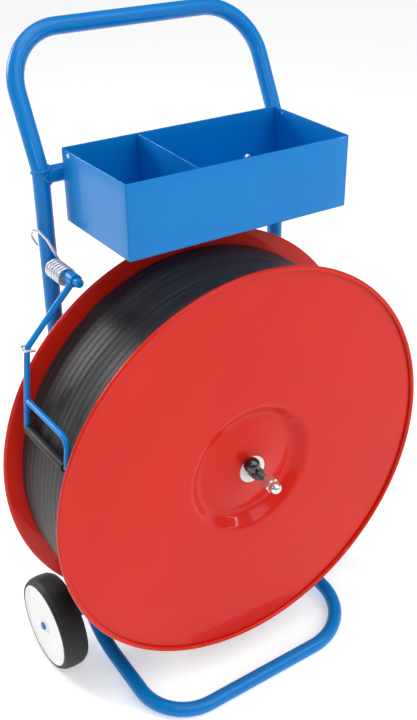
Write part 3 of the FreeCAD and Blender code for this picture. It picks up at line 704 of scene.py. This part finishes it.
nut_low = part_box("tray_nuts")[0]
nut = Maker()
nut.turned([(0.0031, 0), (0.0048, 0), (0.0058, 0.0005), (0.0058, 0.0045), (0.0048, 0.005),
            (0.0031, 0.005)],
           Vector((0, 0, 0)), upward, 48, looped=True, shape=six_sided(0.005, math.pi / 6))
repeated("tray_nuts_zinc", nut.piece("nut_part", zinc, None),
         [(Vector((side * screw_x, nut_low.y, screw_z)), -forward) for side in (-1, 1)],
         zinc, "frame", ["tray_nuts"])

rivet_inset = 0.0185
rivet_drop = 0.0056
rivet = Maker()
rivet.turned([(0.0003, -0.0025), (0.0019, -0.0025), (0.0019, 0), (0.0029, 0), (0.0027, 0.0006),
              (0.002, 0.0012), (0.0009, 0.0014), (0.0008, 0.001), (0.0002, 0.001)],
             Vector((0, 0, 0)), upward, 28)
repeated("tray_rivets_steel", rivet.piece("rivet_part", zinc, None),
         [(Vector((side * tray_high.x, tray_high.y - rivet_inset, tray_high.z - rivet_drop)), across * side)
          for side in (-1, 1)], zinc, "frame", ["tray_rivets"])


def painted(node, finish):
    """Give a CAD piece that keeps its own shape its real finish."""
    data = frame["nodes"][node].data
    data.materials.clear()
    data.materials.append(finish.material)


painted("left_tray_bracket", blue)
painted("right_tray_bracket", blue)
seam_rise = 0.0045
lug_half = 0.0145
lug_seams = []
for side in (-1, 1):
    for z in (crossbar_z - seam_rise, crossbar_z + seam_rise):
        y = plane_y - math.sqrt(tube ** 2 - (z - crossbar_z) ** 2)
        ends = (side * screw_x - lug_half, side * screw_x + lug_half)
        lug_seams.append(([Vector((x, y, z)) for x in ends], False))
weld("lug_welds", "frame", lug_seams, 0.0018)


# ================================================================ axle and wheels
# A 12 mm bar, welded inside the rear bends and coated with the frame, carries two
# white plastic wheels with solid black rubber tyres.
axle_low, axle_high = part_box("wheel_axle")
axle = (axle_high.z - axle_low.z) / 2
axle_y = (axle_low.y + axle_high.y) / 2
axle_z = (axle_low.z + axle_high.z) / 2
axle_end = axle_high.x
axle_bar = Maker()
axle_bar.turned([(axle - 0.0012, -axle_end), (axle - 0.0003, -axle_end + 0.0004),
                 (axle, -axle_end + 0.0012), (axle, axle_end - 0.0012),
                 (axle - 0.0003, axle_end - 0.0004), (axle - 0.0012, axle_end)],
                Vector((0, axle_y, axle_z)), across, 48)
axle_bar.piece("axle", blue, "frame", ["wheel_axle"])
for name in ("left", "right"):
    painted(name + "_axle_spacer", blue)
    painted(name + "_inner_washer", zinc)

bend_rise = 0.929 * rear_bend
bend_middle = Vector((0, plane_y - rear_bend, leg_corner_z + bend_rise))
axle_spot = Vector((0, axle_y, axle_z))
to_tube = (axle_spot - bend_middle).normalized()
along_tube = across.cross(to_tube)
seam_out = 0.0048
seam_aside = 0.0045
seam_half = 0.008
axle_seams = []
for side in (-1, 1):
    for way in (-1, 1):
        line = [axle_spot + to_tube * seam_out + along_tube * (way * seam_aside)
                + across * (side * side_x + x)
                for x in (-seam_half, seam_half)]
        axle_seams.append((line, False))
weld("axle_welds", "frame", axle_seams, 0.0019)

white = Finish("white_moulding", Subsurface_Weight=0.12, Subsurface_Scale=0.003, Coat_Weight=0.15)
white_cloud = white.noise(14, 3)
white_skin = white.noise(900, 2)
white.wear(Base_Color=white.blend(white_cloud, (0.86, 0.86, 0.85), (0.92, 0.92, 0.91)))
white.wear(Roughness=0.36 + 0.1 * white_cloud)
white.wear(Normal=white.bumps(white_skin, 0.00002, white.bumps(white_cloud, 0.0002)))

tyre_rubber = Finish("tyre_rubber", Specular_IOR_Level=0.4)
tyre_dust = tyre_rubber.noise(30, 4, 1.5)
tyre_skin = tyre_rubber.noise(700, 3)
tyre_lines = tyre_rubber.noise(1, 2, place=tyre_rubber.place((2, 420, 1), "UV"))
tyre_rubber.wear(Base_Color=tyre_rubber.blend(tyre_dust, (0.012, 0.012, 0.013), (0.028, 0.028, 0.029)))
tyre_rubber.wear(Roughness=0.5 + 0.2 * tyre_dust)
tyre_rubber.wear(Normal=tyre_rubber.bumps(tyre_skin, 0.00004, tyre_rubber.bumps(tyre_lines, 0.00008)))

tyre_low, tyre_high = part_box("left_tyre")
wheel = (tyre_high.z - tyre_low.z) / 2
half_width = (tyre_high.x - tyre_low.x) / 2
wheel_x = -(tyre_high.x + tyre_low.x) / 2
hub = 0.0648
hub_rim = 0.0605
dish = 0.0016
boss = 0.0125
shoulder = 0.0052
tread_drop = 0.001
tread_edge = half_width - 0.007
bore = axle + 0.00005
face = half_width - dish
well = 0.0105
for name, side in (("left", -1), ("right", 1)):
    spot = Vector((side * wheel_x, axle_y, axle_z))
    outward = across * side
    tyre = Maker()
    tyre.turned(rounded_outline([(hub, -half_width), (wheel - shoulder, -half_width),
                                 (wheel - tread_drop, -tread_edge), (wheel - 0.0001, -0.004),
                                 (wheel, -0.0008), (wheel, 0.0008), (wheel - 0.0001, 0.004),
                                 (wheel - tread_drop, tread_edge), (wheel - shoulder, half_width),
                                 (hub, half_width)],
                                [0, 0.0018, 0.004, 0, 0, 0, 0, 0.004, 0.0018, 0], 6),
                spot, outward, 128, looped=True)
    tyre.piece(name + "_tyre_solid", tyre_rubber, name + "_wheel", [name + "_tyre"])
    disc = Maker()
    disc.turned(rounded_outline([(bore, -half_width), (boss + 0.0005, -half_width), (boss + 0.0025, -face),
                                 (hub_rim - 0.0025, -face), (hub_rim, -half_width), (hub, -half_width),
                                 (hub, half_width), (hub_rim, half_width), (hub_rim - 0.0025, face),
                                 (boss + 0.0025, face), (boss + 0.0005, half_width), (well, half_width),
                                 (well, face), (bore, face)],
                                [0, 0.0008, 0.0012, 0.0012, 0.001, 0.0006, 0.0006, 0.001, 0.0012, 0.0012,
                                 0.0008, 0.0003, 0, 0], 5),
                spot, outward, 128, looped=True)
    disc.piece(name + "_wheel_disc", white, name + "_wheel", [name + "_wheel_hub"])
    painted(name + "_axle_ring", white)


# ================================================================ reel flanges
# Two pressed discs of 1.5 mm steel in red gloss lacquer. The rim is curled over, and
# the middle is dished to clear the hub. Thin pressings are never quite flat.
red = Finish("red_gloss_lacquer", Coat_Weight=0.28, Coat_Roughness=0.03, Specular_IOR_Level=0.1)
red_cloud = red.noise(5, 3)
red_peel = red.noise(300, 2)
red_speck = red.noise(1300, 2)
red.wear(Base_Color=red.blend(red_cloud, (0.63, 0.017, 0.008), (0.70, 0.021, 0.010)))
red.wear(Roughness=0.25 + 0.07 * red_cloud + 0.05 * red_speck)
red.wear(Normal=red.bumps(red_peel, 0.00004, red.bumps(red_speck, 0.000012)))

flange = 0.300
curl_height = 0.0054
curl_middle = (curl_height + sheet) / 2 - half_sheet
curl_spot = Vector((flange - (curl_height + sheet) / 2, curl_middle - half_sheet, 0))
hole = 0.0063
hub_drop = 0.002
dish_drop = 0.017
press_line = rounded_outline([(hole, -hub_drop - half_sheet), (0.024, -hub_drop - half_sheet),
                              (0.080, -dish_drop - half_sheet), (0.0986, -half_sheet),
                              (curl_spot.x, -half_sheet)], [0, 0.0065, 0.0150, 0.0140, 0], 14)
flat_start = press_line[-2]
flat_steps = [flat_start.lerp(press_line[-1], k / 12) for k in range(1, 12)]
curl = [curl_spot + Vector((math.sin(a), -math.cos(a), 0)) * curl_middle
        for a in [math.radians(15 * k) for k in range(1, 20)]]
press_line = press_line[:-1] + flat_steps + press_line[-1:] + curl


def sheet_outline(line, thickness):
    """The closed outline of a bent sheet, from the line along its middle."""
    sides = []
    for i, point in enumerate(line):
        run = (line[min(i + 1, len(line) - 1)] - line[max(i - 1, 0)]).normalized()
        sides.append(Vector((-run.y, run.x, 0)) * (thickness / 2))
    one = [point + side for point, side in zip(line, sides)]
    other = [point - side for point, side in zip(line, sides)]
    return one + other[::-1]


slow_wave = 0.00035
quick_wave = 0.0002


def wavy_flange(name, face_y, outward, phase, body, node):
    """One flange, with a slow wave round its face that grows towards the rim."""
    disc = Maker()
    spot = Vector((0, face_y, spindle_z))
    disc.turned(sheet_outline(press_line, sheet), spot, forward * outward, 240, looped=True)
    for vert in disc.mesh.verts:
        away = Vector((vert.co.x, vert.co.z - spindle_z))
        share = (away.length / flange) ** 2
        turn = math.atan2(away.y, away.x)
        vert.co.y += share * (slow_wave * math.cos(2 * turn + phase)
                              + quick_wave * math.cos(5 * turn - phase))
    return disc.piece(name, red, body, [node])


rear_face_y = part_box("rear_flange")[1].y - curl_height
front_face_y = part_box("front_flange")[0].y + curl_height
wavy_flange("rear_reel_flange", rear_face_y, -1, 0.6, "reel", "rear_flange")
wavy_flange("front_reel_flange", front_face_y, 1, 2.1, "outer_flange", "front_flange")


# ================================================================ coil of band
# Black polypropylene strapping, wound in close side by side turns on a cardboard
# core. The last layer shows: each turn is a little over 11 mm wide, with fine ribs.
coil_low, coil_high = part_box("strap_coil")
coil = (coil_high.x - coil_low.x) / 2
core = 0.207
band_thick = 0.0011
band_turns = 12
end_gap = 0.0006
band_pitch = (coil_high.y - coil_low.y - 2 * end_gap) / (band_turns + 1)
band_width = band_pitch - 0.00006
turn_steps = 120
under_band = coil - 0.0028

band = Finish("black_band", Specular_IOR_Level=0.28)
band_ribs = band.noise(1, 4, 1.8, place=band.place((4, 420, 1), "UV"))
band_grain = band.noise(800, 3, 1.4)
band.wear(Base_Color=band.blend(0.6 * band_ribs + 0.4 * band_grain,
                                (0.006, 0.006, 0.006), (0.05, 0.05, 0.052)))
band.wear(Roughness=0.34 + 0.14 * band_ribs + 0.1 * band_grain)
band.wear(Normal=band.bumps(band_ribs, 0.0002, band.bumps(band_grain, 0.0001)))

winding = Maker()
winding.turned([(core, 0), (under_band, 0), (under_band, coil_high.y - coil_low.y),
                (core, coil_high.y - coil_low.y)],
               Vector((0, coil_high.y, spindle_z)), forward, 200, looped=True)
section = rounded_outline([(-band_width / 2, 0), (band_width / 2, 0), (band_width / 2, band_thick),
                           (-band_width / 2, band_thick)], [0.0001] * 4, 2)
lift = random.Random(5)
lifts = [lift.uniform(-0.00012, 0.0) for k in range(band_turns + 2)]


def band_ring(turns, base, y):
    """The band's section where the winding has made this many turns."""
    a = -2 * math.pi * turns + 2.2
    return [Vector((math.cos(a) * (base + p.y), y - p.x, spindle_z + math.sin(a) * (base + p.y)))
            for p in section]


rings = []
for step in range(band_turns * turn_steps + 1):
    turns = step / turn_steps
    before = lifts[int(turns)]
    after = lifts[int(turns) + 1]
    base = coil - band_thick + before + (after - before) * (turns - int(turns))
    rings.append(band_ring(turns, base, coil_high.y - end_gap - band_pitch * (turns + 0.5)))
winding.skin(rings, across=2 * (band_width + band_thick))
for y in (coil_high.y - band_width / 2, coil_low.y + band_width / 2):
    rings = [band_ring(step / turn_steps, coil - 2.2 * band_thick, y) for step in range(turn_steps)]
    winding.skin(rings, looped=True, across=2 * (band_width + band_thick))
winding.piece("wound_band", band, "reel", ["strap_coil"])

card = Finish("grey_card", Roughness=0.85)
card_fibre = card.noise(90, 4, place=card.place((1, 5, 1)))
card.wear(Base_Color=card.blend(card_fibre, (0.30, 0.21, 0.13), (0.42, 0.31, 0.20)))
card.wear(Normal=card.bumps(card_fibre, 0.0001))
painted("coil_core", card)


# ================================================================ spindle
# A turned steel spindle runs in the housing's two bushes. Its front half is a 12 mm
# threaded rod, left dark and lightly oiled, and a disc is welded on behind the reel.
steel = Finish("oiled_steel", Metallic=1.0)
steel_cloud = steel.noise(80, 3)
steel_lathe = steel.noise(1, 1, place=steel.place((1, 1200, 1)))
steel.wear(Base_Color=steel.blend(steel_cloud, (0.07, 0.07, 0.075), (0.16, 0.16, 0.165)))
steel.wear(Roughness=0.32 + 0.16 * steel_cloud)
steel.wear(Normal=steel.bumps(steel_lathe, 0.00001))

spindle_low, spindle_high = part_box("spindle")
journal = (spindle_high.x - spindle_low.x) / 2
rod = 0.006
thread_pitch = 0.00175
thread_depth = 0.0009
step_y = rear_face_y - 0.002
spindle = Maker()
spindle.turned([(journal - 0.0015, 0), (journal, 0.0015), (journal, 0.0018), (journal, 0.0032),
                (0.009, 0.0032),
                (0.009, 0.0046), (journal, 0.0046), (journal, spindle_high.y - step_y)],
               Vector((0, spindle_high.y, spindle_z)), forward, 64)
thread_steps = 7
lead_length = 0.0015
groove_slope = 2.6
thread_rings = []
thread_length = step_y - spindle_low.y
for step in range(int(thread_length / thread_pitch * thread_steps)):
    d = step * thread_pitch / thread_steps
    lead_in = min(1.0, (thread_length - d) / lead_length)
    ring = []
    for k in range(40):
        a = 2 * math.pi * k / 40
        phase = (d / thread_pitch - k / 40) % 1.0
        groove = max(0.0, 1 - groove_slope * abs(phase - 0.5))
        radius = (rod - thread_depth * groove) * (0.85 + 0.15 * lead_in)
        ring.append(Vector((math.cos(a) * radius, step_y - d, spindle_z + math.sin(a) * radius)))
    thread_rings.append(ring)
spindle.skin(thread_rings)
spindle.piece("threaded_spindle", steel, "reel", ["spindle"])
for node, metal in (("shoulder_disc", steel), ("hub_tube", steel), ("core_drum", steel),
                    ("clamp_screw", steel), ("tail_washer", zinc), ("tail_clip", zinc)):
    painted(node, metal)


# ================================================================ spindle clamp and cap nut
# In front of the flange sit a white plastic friction washer, a steel collar gripped
# by a screw with a black ball on its end, and a chromed domed nut on the rod's tip.
washer_low, washer_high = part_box("friction_washer")
washer_length = washer_high.y - washer_low.y
washer = Maker()
washer.turned(pipe_outline(hole, washer_high.x, washer_length, [0, 0.0003, 0.0009, 0.0006]),
              Vector((0, washer_high.y, spindle_z)), forward, 96, looped=True)
washer.piece("white_washer", white, "outer_flange", ["friction_washer"])

collar_low, collar_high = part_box("clamp_collar")
collar_length = collar_high.y - collar_low.y
rod_hole = rod + 0.0001
collar = Maker()
collar.turned(pipe_outline(rod_hole, collar_high.x, collar_length, [0, 0.0008, 0.0012, 0.0006]),
              Vector((0, collar_high.y, spindle_z)), forward, 64, looped=True)
collar.piece("steel_collar", steel, "collar", ["clamp_collar"])

gloss_black = Finish("gloss_black_moulding", Coat_Weight=1.0, Coat_Roughness=0.03)
black_cloud = gloss_black.noise(200, 3)
gloss_black.wear(Base_Color=gloss_black.blend(black_cloud, (0.004, 0.004, 0.005), (0.009, 0.009, 0.01)))
gloss_black.wear(Roughness=0.12 + 0.08 * black_cloud)
gloss_black.wear(Normal=gloss_black.bumps(black_cloud, 0.00002))

knob_joint = next(joint for joint in frame["joints"] if joint["name"] == "clamp_screw_turn")
knob_axis = Vector(knob_joint["axis"])
knob_root = Vector(knob_joint["pos_m"])
ball = 0.0115
ball_reach = 0.0212
ball_flat = 0.0108
stem = 0.00305
flat_turn = math.acos(ball_flat / ball)
ball_line = [(0.0003, 0.00005), (stem, 0.00005), (stem, -ball_flat)]
ball_steps = 27
for k in range(ball_steps + 1):
    a = math.pi - flat_turn - k * (math.pi - flat_turn - 0.02) / ball_steps
    ball_line.append((ball * math.sin(a), ball * math.cos(a)))
knob = Maker()
knob.turned(ball_line, knob_root + knob_axis * ball_reach, knob_axis, 72)
knob.piece("black_ball", gloss_black, "clamp_knob", ["ball_knob"])

chrome = Finish("chrome_plate")
chrome_cloud = chrome.noise(150, 3)
chrome.wear(Base_Color=chrome.blend(chrome_cloud, (0.70, 0.71, 0.72), (0.84, 0.84, 0.84)))
chrome.wear(Metallic=0.74 + 0.1 * chrome_cloud)
chrome.wear(Roughness=0.12 + 0.08 * chrome_cloud)
chrome.wear(Normal=chrome.bumps(chrome_cloud, 0.000008))
cap_low, cap_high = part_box("dome_nut")
flats = (cap_high.z - cap_low.z) / 2
corners = flats * 2 / math.sqrt(3)
hex_height = 0.014
neck = 0.0086
cap_length = cap_high.y - cap_low.y
dome_start = cap_length - neck
cap_line = [(0.0003, dome_start), (rod_hole, dome_start), (rod_hole, 0), (flats - 0.0003, 0),
            (corners, 0.0010), (corners, hex_height - 0.0012), (flats - 0.0003, hex_height),
            (neck, hex_height)]
for k in range(16):
    a = math.radians(6 * k)
    cap_line.append((max(neck * math.cos(a), 0.0002), dome_start + neck * math.sin(a)))
cap = Maker()
cap.turned(cap_line, Vector((0, cap_high.y, spindle_z)), forward, 96, shape=six_sided(flats, math.pi / 4))
cap.piece("cap_nut_chrome", chrome, "cap_nut", ["dome_nut"], sharp=24)


# ================================================================ brake arm
# A bent 8 mm bar, welded to a sleeve that turns on a pin in front of the left
# upright. A second bar guides the band, and a rubber tube between them rubs on the coil.
sleeve_low, sleeve_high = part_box("arm_sleeve")
sleeve = (sleeve_high.x - sleeve_low.x) / 2
pivot = Vector(((sleeve_low.x + sleeve_high.x) / 2, 0, (sleeve_low.z + sleeve_high.z) / 2))
pin_low, pin_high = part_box("pivot_pin")
pin = (pin_high.x - pin_low.x) / 2
pin_length = plane_y - pin_low.y
pin_round = 0.0028
pin_line = [(pin, 0.004), (pin, pin_length - pin_round)]
for k in range(1, 7):
    a = math.radians(15 * k)
    pin_line.append((pin - pin_round * (1 - math.cos(a)), pin_length - pin_round * (1 - math.sin(a))))
pin_bar = Maker()
pin_bar.turned(pin_line, Vector((pivot.x, plane_y, pivot.z)), forward, 48)
pin_bar.piece("arm_pin", blue, "frame", ["pivot_pin"])
clear = 0.03
weld("pin_weld", "frame", [(saddle(Vector((pivot.x, plane_y - clear, pivot.z)), -forward, pin,
                                   Vector((pivot.x, plane_y, pivot.z)), upward, tube), True)], 0.0016, 0.0024)

sleeve_length = sleeve_high.y - sleeve_low.y
sleeve_tube = Maker()
sleeve_tube.turned(pipe_outline(pin + 0.00005, sleeve, sleeve_length, [0, 0.0007, 0.0007, 0]),
                   Vector((pivot.x, sleeve_high.y, pivot.z)), forward, 56, looped=True)
sleeve_tube.piece("arm_sleeve_tube", blue, "arm", ["arm_sleeve"])

arm_low, arm_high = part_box("brake_arm")
rubber_low, rubber_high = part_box("brake_rubber")
arm_bar = (arm_high.y - arm_low.y) / 2
arm_y = (arm_low.y + arm_high.y) / 2
guide_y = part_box("strap_guide")[0].y + arm_bar
brake_x = (rubber_low.x + rubber_high.x) / 2
brake_z = (rubber_low.z + rubber_high.z) / 2
elbow = Vector((-0.254, arm_y, 0.562))
guide_corner = Vector((-0.262, arm_y, 0.489))
arm_foot = Vector((brake_x, arm_y, brake_z))
arm_root = Vector((pivot.x, arm_y, pivot.z))
arm_run = (elbow - arm_root).normalized()
arm = Maker()
arm.tube(rounded([arm_root + arm_run * 0.006, elbow, guide_corner, arm_foot], [0, 0.022, 0.060, 0], 12),
         arm_bar, 32)
arm.piece("bent_arm", blue, "arm", ["brake_arm"])
guide = Maker()
guide.tube(rounded([guide_corner + forward * 0.002, Vector((guide_corner.x, guide_y, guide_corner.z)),
                    Vector((brake_x, guide_y, brake_z))], [0, 0.014, 0], 12), arm_bar, 32)
guide.piece("guide_bar", blue, "arm", ["strap_guide"])
arm_seams = [(saddle(arm_root + arm_run * clear, -arm_run, arm_bar, arm_root, forward, sleeve), True),
             (saddle(guide_corner + forward * clear, -forward, arm_bar * 0.98, guide_corner, upward, arm_bar),
              True)]
weld("arm_welds", "arm", arm_seams, 0.0013, 0.002)

painted("brake_bar", zinc)
soft_rubber = Finish("brake_rubber_tube", Specular_IOR_Level=0.4)
soft_cloud = soft_rubber.noise(160, 3, place=soft_rubber.place((1, 0.3, 1)))
soft_skin = soft_rubber.noise(1200, 2)
soft_rubber.wear(Base_Color=soft_rubber.blend(soft_cloud, (0.010, 0.010, 0.011), (0.022, 0.022, 0.023)))
soft_rubber.wear(Roughness=0.42 + 0.2 * soft_cloud)
soft_rubber.wear(Normal=soft_rubber.bumps(soft_skin, 0.00003))
rubber = (rubber_high.z - rubber_low.z) / 2
rubber_bore = 0.00305
rubber_length = rubber_high.y - rubber_low.y
rubber_tube = Maker()
rubber_tube.turned(pipe_outline(rubber_bore, rubber, rubber_length, [0, 0.0008, 0.0008, 0]),
                   Vector((brake_x, rubber_high.y, brake_z)), forward, 48, looped=True)
rubber_tube.piece("rubber_sleeve", soft_rubber, "arm", ["brake_rubber"])


# ================================================================ brake spring
# A torsion spring of bright zinc plated wire hangs loosely on the pin. Its rear leg
# hooks round the upright and its front leg round the arm's elbow, so that it pulls
# the rubber onto the coil.
spring_low, spring_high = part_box("brake_spring")
wire = 0.0018
end_inset = 0.0019
coil_radius = (spring_high.x - spring_low.x) / 2 - end_inset
rear_coil_y = spring_high.y - end_inset
front_coil_y = spring_low.y + end_inset
coil_x = (spring_low.x + spring_high.x) / 2
coil_z = (spring_low.z + spring_high.z) / 2
spring_turns = 6
start_turn = math.radians(28)
end_turn = math.radians(-68) - spring_turns * 2 * math.pi
coil_steps = spring_turns * 40
coil_line = []
for step in range(coil_steps + 1):
    share = step / coil_steps
    a = start_turn + (end_turn - start_turn) * share
    coil_line.append(Vector((coil_x + coil_radius * math.cos(a),
                             rear_coil_y + (front_coil_y - rear_coil_y) * share,
                             coil_z + coil_radius * math.sin(a))))
rear_leg = rounded([Vector((-0.1908, plane_y + 0.0132, 0.6575)), Vector((-0.2020, plane_y + 0.0040, 0.6755)),
                    Vector((-0.2035, plane_y - 0.0040, 0.6870)), Vector((-0.1970, plane_y - 0.0120, 0.6860)),
                    Vector((-0.1888, plane_y - 0.0150, 0.6735)), coil_line[0]],
                   [0, 0.010, 0.005, 0.005, 0.012, 0], 8)
front_leg = rounded([coil_line[-1], Vector((-0.1812, plane_y - 0.0588, 0.6238)),
                     elbow + Vector((0.0085, 0.0058, 0.0015)), elbow + Vector((-0.0066, 0.0055, 0.0015)),
                     elbow + Vector((-0.0062, -0.0060, 0.0)), elbow + Vector((0.0085, -0.0062, -0.0030))],
                    [0, 0.003, 0.003, 0.003, 0.003, 0], 8)
spring = Maker()
spring.tube(rear_leg[:-1] + coil_line + front_leg[1:], wire, 16)
spring_piece = spring.piece("torsion_spring", zinc, None, ["brake_spring"])
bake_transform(spring_piece)
